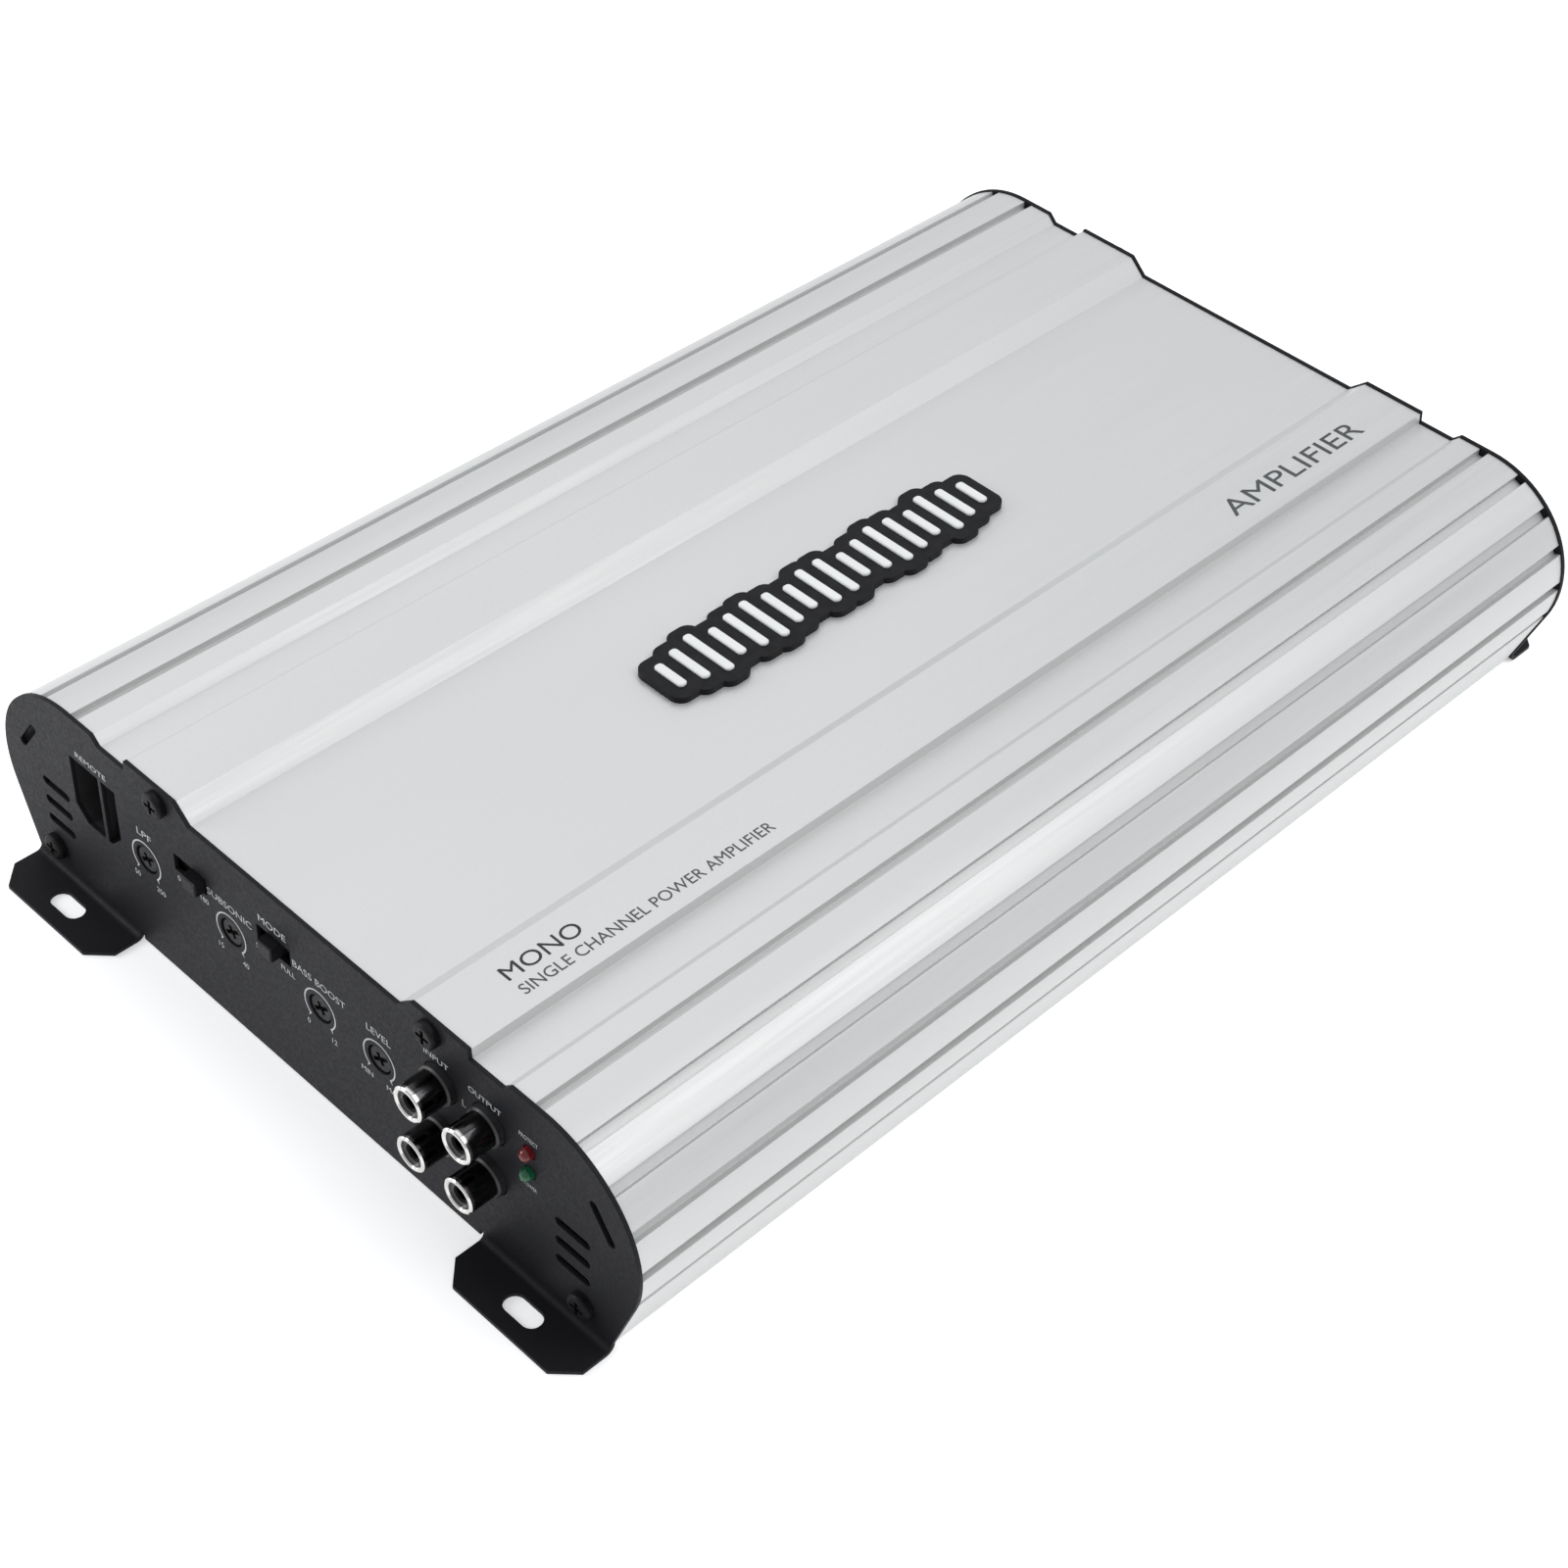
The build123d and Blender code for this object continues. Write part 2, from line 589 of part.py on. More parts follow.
def switch_lever(name, x):
    """A slide switch's lever: a grip that stands out of the panel's window and a stem in the switch."""
    with BuildPart() as lever:
        with BuildSketch(wall(POT_FACE + STEM_DEPTH)):
            with Locations((x, SWITCH_Z)):
                Rectangle(*STEM)
        extrude(amount=POT_FACE + STEM_DEPTH - KNOB_BACK)
        with BuildSketch(wall(KNOB_BACK)):
            with Locations((x, SWITCH_Z)):
                Rectangle(*LEVER)
        extrude(amount=KNOB_BACK - LEVER_TIP)
        chamfer(lever.edges().group_by(Axis.Y)[0], 0.3)
    write(lever.part, name)


switch_lever("lever_phase", PHASE_SWITCH_X + SWITCH_THROW)
switch_lever("lever_mode", MODE_SWITCH_X)

# ---------------------------------------------------------------- indicator lights
LED_SHOULDER = FACE + 0.8  # |y| where the dome starts
LED_RIM_R = LED_R + 0.4


def indicator(name, z):
    """A 3 mm light with a domed tip, a rim behind the panel and a short body."""
    with BuildPart() as light:
        with BuildSketch(Plane.XY.offset(z)):
            with BuildLine():
                Polyline(
                    (LED_X, -LED_SHOULDER - LED_R),
                    (LED_X, -END + 3.5),
                    (LED_X + LED_R, -END + 3.5),
                    (LED_X + LED_R, -END + 1.0),
                    (LED_X + LED_RIM_R, -END + 1.0),
                    (LED_X + LED_RIM_R, -END),
                    (LED_X + LED_R, -END),
                    (LED_X + LED_R, -LED_SHOULDER),
                )
                CenterArc((LED_X, -LED_SHOULDER), LED_R, 0, -90)
            make_face()
        revolve(axis=Axis((LED_X, 0, z), (0, 1, 0)))
    write(light.part, name)


for led_name, led_z in LEDS.items():
    indicator(led_name, led_z)

# ---------------------------------------------------------------- remote socket
SOCKET_DEPTH = 11.0
SOCKET_BODY = (-79.0, -58.6)
SOCKET_TOP_Z = 45.4
SOCKET_BACK = 2.5  # thickness behind the cavity

with BuildPart() as remote_socket:
    with BuildSketch(wall(-END + SOCKET_DEPTH + SOCKET_BACK)):
        with Locations((sum(SOCKET_BODY) / 2, (BOARD_TOP + SOCKET_TOP_Z) / 2)):
            Rectangle(SOCKET_BODY[1] - SOCKET_BODY[0], SOCKET_TOP_Z - BOARD_TOP)
    extrude(amount=SOCKET_DEPTH + SOCKET_BACK)
    with BuildSketch(wall(-END + SOCKET_DEPTH)):
        socket_windows()
    extrude(amount=SOCKET_DEPTH, mode=Mode.SUBTRACT)
write(remote_socket.part, "remote_socket")

with BuildPart() as remote_contacts:
    with BuildSketch(wall(-END + SOCKET_DEPTH)):
        with Locations((sum(SOCKET_LEFT) / 2, SOCKET_ZS[1] - 5)):
            with GridLocations(2.4, 1, 3, 1):
                Rectangle(0.7, 0.7)
        with Locations(*[(sum(SOCKET_RIGHT) / 2, SOCKET_ZS[1] - drop) for drop in (6, 12)]):
            Rectangle(0.8, 2.4)
    extrude(amount=6.0)
write(remote_contacts.part, "remote_contacts")

# ---------------------------------------------------------------- wound parts and capacitors
def ring_core(name, centres, outer_r, inner_r, bottom, height):
    """Flat ferrite rings that lie over the board."""
    with BuildPart() as core:
        with BuildSketch(Plane.XY.offset(bottom)):
            with Locations(*centres):
                Circle(outer_r)
                Circle(inner_r, mode=Mode.SUBTRACT)
        extrude(amount=height)
    write(core.part, name)
    return core.part


def ring_winding(name, core, centres, outer_r, inner_r, height, turns, wire):
    """Turns of heavy wire that hug a ring core, standing on the board."""
    with BuildPart() as winding:
        with BuildSketch(Plane.XY.offset(BOARD_TOP)):
            with Locations(*centres):
                with PolarLocations((outer_r + inner_r) / 2, turns):
                    Rectangle(outer_r - inner_r + 2 * wire, wire)
        extrude(amount=height + 2 * wire)
        add(core, mode=Mode.SUBTRACT)
    write(winding.part, name)


FINE_WIRE = 1.8
HEAVY_WIRE = 2.6
# each ring as (name of core, name of winding, centres, outer radius, inner radius, height, turns, wire)
RINGS = (
    ("transformer_cores", "transformer_windings", [(-27, 66), (27, 66)], 20.0, 10.0, 16.0, 20, FINE_WIRE),
    ("inductor_core", "inductor_winding", [(0, -50)], 22.0, 12.0, 20.0, 16, HEAVY_WIRE),
)
for core_name, winding_name, centres, outer_r, inner_r, height, turns, wire in RINGS:
    ferrite = ring_core(core_name, centres, outer_r, inner_r, BOARD_TOP + wire, height)
    ring_winding(winding_name, ferrite, centres, outer_r, inner_r, height, turns, wire)

with BuildPart() as capacitors:
    with BuildSketch(Plane.XY.offset(BOARD_TOP)):
        with Locations((0, 114)):
            with GridLocations(21, 19, 4, 2):
                Circle(8)
    extrude(amount=32)
    with BuildSketch(Plane.XY.offset(BOARD_TOP)):
        with Locations((0, -103)):
            with GridLocations(18, 18, 5, 2):
                Circle(6.3)
    extrude(amount=25)
    fillet(capacitors.edges().filter_by(GeomType.CIRCLE).group_by(Axis.Z)[1:], 0.8)
write(capacitors.part, "capacitors")

# ---------------------------------------------------------------- transistors clamped to the ribs
PAD_THICK = 0.4
TRANSISTOR = (4.6, 10.0, 16.0)
CLAMP_THICK = 2.6
TRANSISTOR_YS = [y + offset for y in CLAMP_SCREW_YS[:-1] for offset in (10.5, 23.5)]
PAD_X = RIB_INNER_X - PAD_THICK
TRANSISTOR_X = PAD_X - TRANSISTOR[0]
BAR_X = TRANSISTOR_X - CLAMP_THICK
CLAMP_LENGTH = CLAMP_SCREW_YS[-1] - CLAMP_SCREW_YS[0] + 12
CLAMP_MIDDLE = (CLAMP_SCREW_YS[-1] + CLAMP_SCREW_YS[0]) / 2
LEG_BOTTOM_Z = 16.5


def rail_strip(name, x, thick, width, hole_r):
    """A strip along each rib, from x outwards, with the clamp screws' holes through it."""
    with BuildPart() as strip:
        for side in SIDES:
            with BuildSketch(Plane.YZ.offset(side * x)):
                with Locations((CLAMP_MIDDLE, CLAMP_Z)):
                    Rectangle(CLAMP_LENGTH, width)
                with Locations(*[(y, CLAMP_Z) for y in CLAMP_SCREW_YS]):
                    Circle(hole_r, mode=Mode.SUBTRACT)
            extrude(amount=side * thick)
    write(strip.part, name)


rail_strip("thermal_pads", PAD_X, PAD_THICK, 18.0, CLAMP_SCREW_R + 0.3)
rail_strip("clamp_bars", BAR_X, CLAMP_THICK, 7.0, CLAMP_SCREW_R + 0.1)

with BuildPart() as power_transistors:
    for side in SIDES:
        with BuildSketch(Plane.YZ.offset(side * TRANSISTOR_X)):
            with Locations(*[(y, LEG_BOTTOM_Z + TRANSISTOR[2] / 2) for y in TRANSISTOR_YS]):
                Rectangle(TRANSISTOR[1], TRANSISTOR[2])
        extrude(amount=side * TRANSISTOR[0])
        with BuildSketch(Plane.XY.offset(BOARD_TOP)):
            for y in TRANSISTOR_YS:
                with Locations((side * (TRANSISTOR_X + 2.0), y)):
                    with GridLocations(1, 2.54, 1, 3):
                        Rectangle(0.5, 0.9)
        extrude(amount=LEG_BOTTOM_Z - BOARD_TOP)
write(power_transistors.part, "power_transistors")

with BuildPart() as inner_screws:
    with BuildSketch(Plane.XY.offset(BOARD_TOP)):
        with Locations(*BOARD_SPOTS):
            Circle(INNER_HEAD_R)
    extrude(amount=INNER_HEAD)
    fillet(inner_screws.edges().group_by(Axis.Z)[-1], 0.7)
    cross_recess(Plane.XY.offset(BOARD_TOP + INNER_HEAD), BOARD_SPOTS, 2.8, 1.0)
    with BuildSketch(Plane.XY.offset(BOARD_TOP)):
        with Locations(*BOARD_SPOTS):
            Circle(BOARD_SCREW_R)
    extrude(amount=-6.0)
    for side in SIDES:
        with BuildSketch(Plane.YZ.offset(side * BAR_X)):
            with Locations(*[(y, CLAMP_Z) for y in CLAMP_SCREW_YS]):
                Circle(INNER_HEAD_R)
        extrude(amount=-side * INNER_HEAD)
        with BuildSketch(Plane.YZ.offset(side * BAR_X)):
            with Locations(*[(y, CLAMP_Z) for y in CLAMP_SCREW_YS]):
                Circle(CLAMP_SCREW_R - RUNNING_GAP)
        extrude(amount=side * (RIB_X + RIB_THICK / 2 - BAR_X))
write(inner_screws.part, "inner_screws")

# ---------------------------------------------------------------- back panel terminals
BLOCK_ROOT = END - 10  # |y| of the blocks' inner faces
BLOCK_FLOOR = FACE + 3.5  # |y| of the floor of each cell
BARRIER_TIP = FACE + 10
SEAT = (12.5, 16.0, 1.0)
SLEEVE_R = 3.4
SLEEVE_ROOT = END - 0.5
SCREW_TIP = END - 4.0
WASHER = 11.0
WASHER_THICK = 1.2
WASHER_BACK = BLOCK_FLOOR + SEAT[2] + 0.3
HEAD_BACK = WASHER_BACK + WASHER_THICK + 0.1
HEAD_THICK = 2.8
HEAD_R = 3.9


def terminal_block(name, xs):
    """A barrier strip: an insulating base through the panel with a wall either side of each cell."""
    middle = (xs[0] + xs[-1]) / 2
    cells = [(x, TERMINAL_Z) for x in xs]
    barriers = [(xs[0] - TERMINAL_PITCH / 2 + TERMINAL_PITCH * i, BLOCK_Z) for i in range(len(xs) + 1)]
    with BuildPart() as block:
        with BuildSketch(wall(END)):
            with Locations((middle, (BOARD_TOP + BLOCK_TOP_Z) / 2)):
                Rectangle(block_width(xs), BLOCK_TOP_Z - BOARD_TOP)
        extrude(amount=END - BLOCK_ROOT)
        with BuildSketch(wall(BLOCK_FLOOR)):
            with Locations((middle, BLOCK_Z)):
                Rectangle(block_width(xs), BLOCK_TOP_Z - BLOCK_BOTTOM_Z)
        extrude(amount=BLOCK_FLOOR - END)
        with BuildSketch(wall(BARRIER_TIP)):
            with Locations(*barriers):
                Rectangle(BARRIER, BLOCK_TOP_Z - BLOCK_BOTTOM_Z)
        extrude(amount=BARRIER_TIP - BLOCK_FLOOR)
        with BuildSketch(wall(BLOCK_FLOOR)):
            with Locations(*cells):
                Circle(SLEEVE_R)
        extrude(amount=BLOCK_FLOOR - SLEEVE_ROOT, mode=Mode.SUBTRACT)
        with BuildSketch(wall(BLOCK_FLOOR)):
            with Locations(*cells):
                Circle(TERMINAL_SCREW_R + 0.5)
        extrude(amount=BLOCK_FLOOR - SCREW_TIP + 2, mode=Mode.SUBTRACT)
    write(block.part, name)


terminal_block("power_terminal_block", POWER_XS)
terminal_block("speaker_terminal_block", SPEAKER_XS)

with BuildPart() as terminal_seats:
    seats = [(x, TERMINAL_Z) for x in POWER_XS + SPEAKER_XS]
    with BuildSketch(wall(BLOCK_FLOOR + SEAT[2])):
        with Locations(*seats):
            Rectangle(SEAT[0], SEAT[1])
    extrude(amount=SEAT[2])
    with BuildSketch(wall(BLOCK_FLOOR)):
        with Locations(*seats):
            Circle(SLEEVE_R)
    extrude(amount=BLOCK_FLOOR - SLEEVE_ROOT)
    with BuildSketch(wall(BLOCK_FLOOR + SEAT[2])):
        with Locations(*seats):
            Circle(TERMINAL_SCREW_R + RUNNING_GAP)
    extrude(amount=BLOCK_FLOOR + SEAT[2] - SLEEVE_ROOT, mode=Mode.SUBTRACT)
write(terminal_seats.part, "terminal_seats")


def clamp_washer(name, x):
    """The square washer that presses a wire on its seat; it travels with its screw."""
    with BuildPart() as washer:
        with BuildSketch(wall(WASHER_BACK + WASHER_THICK)):
            with Locations((x, TERMINAL_Z)):
                RectangleRounded(WASHER, WASHER, 1.0)
                Circle(TERMINAL_SCREW_R + 2 * RUNNING_GAP, mode=Mode.SUBTRACT)
        extrude(amount=WASHER_THICK)
    write(washer.part, name)


def terminal_screw(name, x):
    """A cross-head terminal screw, its shank through the washer, the seat and its sleeve."""
    with BuildPart() as screw:
        with BuildSketch(wall(HEAD_BACK + HEAD_THICK)):
            with Locations((x, TERMINAL_Z)):
                Circle(HEAD_R)
        extrude(amount=HEAD_THICK)
        fillet(screw.edges().group_by(Axis.Y)[-1], 1.0)
        with BuildSketch(wall(HEAD_BACK)):
            with Locations((x, TERMINAL_Z)):
                Circle(TERMINAL_SCREW_R)
        extrude(amount=HEAD_BACK - SCREW_TIP)
        cross_recess(wall(HEAD_BACK + HEAD_THICK), [(x, TERMINAL_Z)], 5.0, -1.6)
    write(screw.part, name)


TERMINALS = {
    "ground": POWER_XS[0],
    "remote": POWER_XS[1],
    "battery": POWER_XS[2],
    "speaker_minus": SPEAKER_XS[0],
    "speaker_plus": SPEAKER_XS[1],
}
for terminal, terminal_x in TERMINALS.items():
    clamp_washer(f"washer_{terminal}", terminal_x)
    terminal_screw(f"screw_{terminal}", terminal_x)

# ---------------------------------------------------------------- fuses
FUSE_HOLDER_TIP = FACE + 4.0
FUSE_RECESS = 3.0
FUSE_GAP = 0.3
FUSE_BACK = FUSE_HOLDER_TIP - FUSE_RECESS + FUSE_GAP
FUSE_TIP = FACE + 11.4
FUSE_ROOT = 4.5  # full-width length of each fuse, before the step of its grip
BLADE = (0.65, 5.2, 8.0)  # thickness, width and length
BLADE_SPREAD = 7.0  # each blade's centre from the fuse's middle
BLADE_GAP = 0.25
BLADE_SPOTS = [(x, FUSE_Z + side * BLADE_SPREAD) for x in FUSE_XS for side in SIDES]

with BuildPart() as fuse_holder:
    with BuildSketch(wall(END)):
        with Locations((FUSE_XS[1], (BOARD_TOP + BLOCK_TOP_Z) / 2)):
            Rectangle(FUSE_BLOCK_WIDTH, BLOCK_TOP_Z - BOARD_TOP)
    extrude(amount=END - BLOCK_ROOT)
    with BuildSketch(wall(FUSE_HOLDER_TIP)):
        with Locations((FUSE_XS[1], BLOCK_Z)):
            Rectangle(FUSE_BLOCK_WIDTH, BLOCK_TOP_Z - BLOCK_BOTTOM_Z)
    extrude(amount=FUSE_HOLDER_TIP - END)
    with BuildSketch(wall(FUSE_HOLDER_TIP)):
        with Locations(*[(x, FUSE_Z) for x in FUSE_XS]):
            Rectangle(FUSE_SIZE[0] + 2 * FUSE_GAP, FUSE_SIZE[1] + 2 * FUSE_GAP)
    extrude(amount=FUSE_RECESS, mode=Mode.SUBTRACT)
    with BuildSketch(wall(FUSE_HOLDER_TIP)):
        with Locations(*BLADE_SPOTS):
            Rectangle(BLADE[0] + 2 * BLADE_GAP, BLADE[1] + 2 * BLADE_GAP)
    extrude(amount=FUSE_RECESS + BLADE[2] + BLADE_GAP, mode=Mode.SUBTRACT)
write(fuse_holder.part, "fuse_holder")


def fuse_body(name, x):
    """The coloured plastic body of a blade fuse, with a shallow step round its grip."""
    with BuildPart() as body:
        with BuildSketch(wall(FUSE_BACK + FUSE_ROOT)):
            with Locations((x, FUSE_Z)):
                RectangleRounded(FUSE_SIZE[0], FUSE_SIZE[1], 0.8)
        extrude(amount=FUSE_ROOT)
        with BuildSketch(wall(FUSE_TIP)):
            with Locations((x, FUSE_Z)):
                RectangleRounded(FUSE_SIZE[0] - 1.0, FUSE_SIZE[1] - 1.6, 0.6)
        extrude(amount=FUSE_TIP - FUSE_BACK - FUSE_ROOT)
        chamfer(body.edges().group_by(Axis.Y)[-1], 0.4)
    write(body.part, name)


def fuse_blades(name, x):
    """The two flat blades of a fuse, with pointed ends."""
    with BuildPart() as blades:
        with BuildSketch(wall(FUSE_BACK)):
            with Locations((x, FUSE_Z - BLADE_SPREAD), (x, FUSE_Z + BLADE_SPREAD)):
                Rectangle(BLADE[0], BLADE[1])
        extrude(amount=BLADE[2])
        chamfer(blades.edges().filter_by(Axis.X).group_by(Axis.Y)[0], 0.8)
    write(blades.part, name)


for number, fuse_x in enumerate(FUSE_XS, start=1):
    fuse_body(f"fuse_{number}_body", fuse_x)
    fuse_blades(f"fuse_{number}_blades", fuse_x)
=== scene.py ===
import json
import math

import bmesh
import bpy
from mathutils import Matrix, Vector


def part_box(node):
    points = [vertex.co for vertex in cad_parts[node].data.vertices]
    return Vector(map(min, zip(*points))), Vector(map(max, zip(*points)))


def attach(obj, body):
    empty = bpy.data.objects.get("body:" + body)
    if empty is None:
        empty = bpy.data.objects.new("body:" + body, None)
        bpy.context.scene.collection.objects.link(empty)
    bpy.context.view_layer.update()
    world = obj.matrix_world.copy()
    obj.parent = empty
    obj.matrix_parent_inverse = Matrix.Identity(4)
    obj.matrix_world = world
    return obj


# The looks of a car amplifier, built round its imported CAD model.
# Metres; +X along the control panel, +Y along the hood away from it, +Z up.

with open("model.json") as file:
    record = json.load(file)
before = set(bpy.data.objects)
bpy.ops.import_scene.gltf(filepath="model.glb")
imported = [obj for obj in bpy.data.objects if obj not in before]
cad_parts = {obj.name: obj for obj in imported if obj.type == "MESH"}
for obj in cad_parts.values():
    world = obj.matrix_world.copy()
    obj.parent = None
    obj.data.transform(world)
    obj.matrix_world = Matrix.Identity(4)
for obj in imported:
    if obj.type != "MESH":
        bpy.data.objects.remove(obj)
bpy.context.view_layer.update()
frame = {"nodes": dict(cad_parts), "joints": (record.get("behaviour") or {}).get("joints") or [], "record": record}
MM = 0.001
for packed in list(bpy.data.materials):
    bpy.data.materials.remove(packed)


def middle(node):
    """The middle of a CAD node's box."""
    low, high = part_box(node)
    return (Vector(low) + Vector(high)) / 2


def mount(name):
    """The place of one of the record's mounts."""
    return Vector(next(m["pos_m"] for m in frame["record"]["mounts"] if m["name"] == name))


# ---------------------------------------------------------------- camera
LENS = 67.4
ELEVATION = math.radians(42.99)
AZIMUTH = math.radians(42.49)
ROLL = math.radians(3.455)
DISTANCE = 0.65787
TARGET = Vector((0.0234, -0.03587, 0.028))


def camera_for(target, distance, azimuth, elevation, roll, lens):
    """The scene's camera, at this distance from target and turned about its own axis by roll."""
    back = Vector(
        (
            math.sin(azimuth) * math.cos(elevation),
            -math.cos(azimuth) * math.cos(elevation),
            math.sin(elevation),
        )
    )
    right = Vector((math.cos(azimuth), math.sin(azimuth), 0))
    up = back.cross(right)
    data = bpy.data.cameras.new("camera")
    data.sensor_width = 36.0
    data.lens = lens
    data.clip_start = 0.01
    data.clip_end = 20.0
    camera = bpy.data.objects.new("camera", data)
    bpy.context.scene.collection.objects.link(camera)
    turn = Matrix((right, up, back)).transposed() @ Matrix.Rotation(roll, 3, "Z")
    camera.matrix_world = Matrix.Translation(target + back * distance) @ turn.to_4x4()
    return camera


bpy.context.scene.camera = camera_for(TARGET, DISTANCE, AZIMUTH, ELEVATION, ROLL, LENS)

# ---------------------------------------------------------------- light
SKY = (0.95, 0.97, 1.0)
SKY_STRENGTH = 0.64
BODY_MIDDLE = (0, 0, 0.03)
CONTROL_PANEL = (-0.06, -0.15, 0.03)

world = bpy.data.worlds.new("studio")
bpy.context.scene.world = world
world.use_nodes = True
world.node_tree.nodes["Background"].inputs["Color"].default_value = (*SKY, 1)
world.node_tree.nodes["Background"].inputs["Strength"].default_value = SKY_STRENGTH


def soft_light(name, place, target, size, power):
    """A square softbox at place, turned to target."""
    data = bpy.data.lights.new(name, "AREA")
    data.size = size
    data.energy = power
    light = bpy.data.objects.new(name, data)
    bpy.context.scene.collection.objects.link(light)
    light.location = place
    light.rotation_euler = (Vector(target) - Vector(place)).to_track_quat("-Z", "Y").to_euler()


soft_light("overhead", (-0.75, 0.3, 1.3), BODY_MIDDLE, 1.5, 5.1)
soft_light("key", (0.55, 0.4, 1.0), BODY_MIDDLE, 0.7, 4.5)
soft_light("left_front", (-0.55, -0.55, 0.3), CONTROL_PANEL, 0.3, 2.2)

bpy.context.scene.view_settings.view_transform = "Standard"

# ---------------------------------------------------------------- materials
FINE_EDGE = 0.2 * MM  # worn edges of plastic and small metal pieces
SHEET_EDGE = 0.35 * MM  # worn edges of the hood and the bent panels
looks = {}


class Look:
    """A node material whose plain values sit on the shader and whose patterns lie in object space."""

    def __init__(self, name, colour, roughness, metallic=0.0, **sockets):
        self.material = bpy.data.materials.new(name)
        self.material.use_nodes = True
        self.nodes = self.material.node_tree.nodes
        self.links = self.material.node_tree.links
        self.shader = self.nodes["Principled BSDF"]
        self.shader.inputs["Base Color"].default_value = (*colour, 1)
        self.shader.inputs["Roughness"].default_value = roughness
        self.shader.inputs["Metallic"].default_value = metallic
        for socket, value in sockets.items():
            self.shader.inputs[socket.replace("_", " ")].default_value = value
        self.place = self.nodes.new("ShaderNodeTexCoord").outputs["Object"]
        looks[name] = self.material

    def noise(self, scale, stretch=(1, 1, 1), detail=4.0):
        """Noise with scale waves to the metre, stretched along the axes by these factors."""
        mapping = self.nodes.new("ShaderNodeMapping")
        mapping.inputs["Scale"].default_value = [1 / s for s in stretch]
        self.links.new(self.place, mapping.inputs["Vector"])
        texture = self.nodes.new("ShaderNodeTexNoise")
        texture.inputs["Scale"].default_value = scale
        texture.inputs["Detail"].default_value = detail
        texture.inputs["Roughness"].default_value = 0.55
        self.links.new(mapping.outputs["Vector"], texture.inputs["Vector"])
        return texture.outputs["Fac"]

    def spread(self, value, low, high, start=0.3, end=0.7):
        """value from start to end becomes low to high."""
        node = self.nodes.new("ShaderNodeMapRange")
        for socket, number in zip(("From Min", "From Max", "To Min", "To Max"), (start, end, low, high)):
            node.inputs[socket].default_value = number
        self.links.new(value, node.inputs["Value"])
        return node.outputs["Result"]

    def mix(self, share, first, second):
        """A colour between the colours first and second."""
        node = self.nodes.new("ShaderNodeMix")
        node.data_type = "RGBA"
        self.links.new(share, node.inputs["Factor"])
        for socket, value in (("A", first), ("B", second)):
            target = [s for s in node.inputs if s.name == socket and s.type == "RGBA"][0]
            target.default_value = (*value, 1)
        return [s for s in node.outputs if s.type == "RGBA"][0]

    def combine(self, operation, first, second):
        """A sum or product of two outputs, or of an output and a number."""
        node = self.nodes.new("ShaderNodeMath")
        node.operation = operation
        for socket, value in zip(node.inputs, (first, second)):
            if isinstance(value, float):
                socket.default_value = value
            else:
                self.links.new(value, socket)
        return node.outputs[0]

    def colour(self, output):
        self.links.new(output, self.shader.inputs["Base Color"])

    def roughness(self, output):
        self.links.new(output, self.shader.inputs["Roughness"])

    def relief(self, height, strength, depth, edge=0.0):
        """Bump of this depth in metres, over edges rounded to the radius edge."""
        bump = self.nodes.new("ShaderNodeBump")
        bump.inputs["Strength"].default_value = strength
        bump.inputs["Distance"].default_value = depth
        self.links.new(height, bump.inputs["Height"])
        if edge:
            round_edge = self.nodes.new("ShaderNodeBevel")
            round_edge.samples = 4
            round_edge.inputs["Radius"].default_value = edge
            self.links.new(round_edge.outputs["Normal"], bump.inputs["Normal"])
        self.links.new(bump.outputs["Normal"], self.shader.inputs["Normal"])


def grained(name, colour, roughness, metallic, grain, change, depth=0.04 * MM, edge=0.0, **sockets):
    """A surface with a fine grain: its colour, gloss and relief all vary a little with it."""
    look = Look(name, colour, roughness, metallic, **sockets)
    broad = look.noise(45, detail=3.0)
    fine = look.noise(grain, detail=6.0)
    darker = tuple(c * (1 - change) for c in colour)
    lighter = tuple(c * (1 + change) for c in colour)
    both = look.combine("ADD", look.combine("MULTIPLY", broad, 0.6), look.combine("MULTIPLY", fine, 0.4))
    look.colour(look.mix(look.spread(both, 0, 1), darker, lighter))
    look.roughness(look.spread(fine, roughness * 0.8, roughness * 1.2))
    look.relief(fine, 0.6, depth, edge)


def drawn_aluminium(name):
    """Satin aluminium, drawn along its length."""
    look = Look(name, (0.62, 0.62, 0.61), 0.46, 0.5)
    drawn = look.noise(900, (1, 60, 1), detail=5.0)
    grain = look.noise(2600, detail=3.0)
    tone = look.noise(14, (1, 3, 1), detail=2.0)
    mottle = look.combine("ADD", look.combine("MULTIPLY", tone, 0.35), look.combine("MULTIPLY", grain, 0.3))
    share = look.combine("ADD", look.combine("MULTIPLY", drawn, 0.35), mottle)
    look.colour(look.mix(look.spread(share, 0, 1, 0.35, 0.65), (0.6, 0.605, 0.6), (0.65, 0.655, 0.65)))
    look.roughness(look.spread(drawn, 0.43, 0.55))
    look.relief(look.combine("ADD", look.combine("MULTIPLY", drawn, 0.5), grain), 0.35, 0.02 * MM, SHEET_EDGE)


def powder_coat(name):
    """Black powder coat on steel sheet."""
    look = Look(name, (0.012, 0.012, 0.014), 0.55, Specular_IOR_Level=0.12)
    powder = look.noise(1500, detail=3.0)
    patches = look.noise(30, detail=3.0)
    look.colour(look.mix(look.spread(patches, 0, 1), (0.009, 0.009, 0.011), (0.014, 0.014, 0.017)))
    look.roughness(look.spread(powder, 0.45, 0.62))
    look.relief(powder, 0.5, 0.03 * MM, SHEET_EDGE)


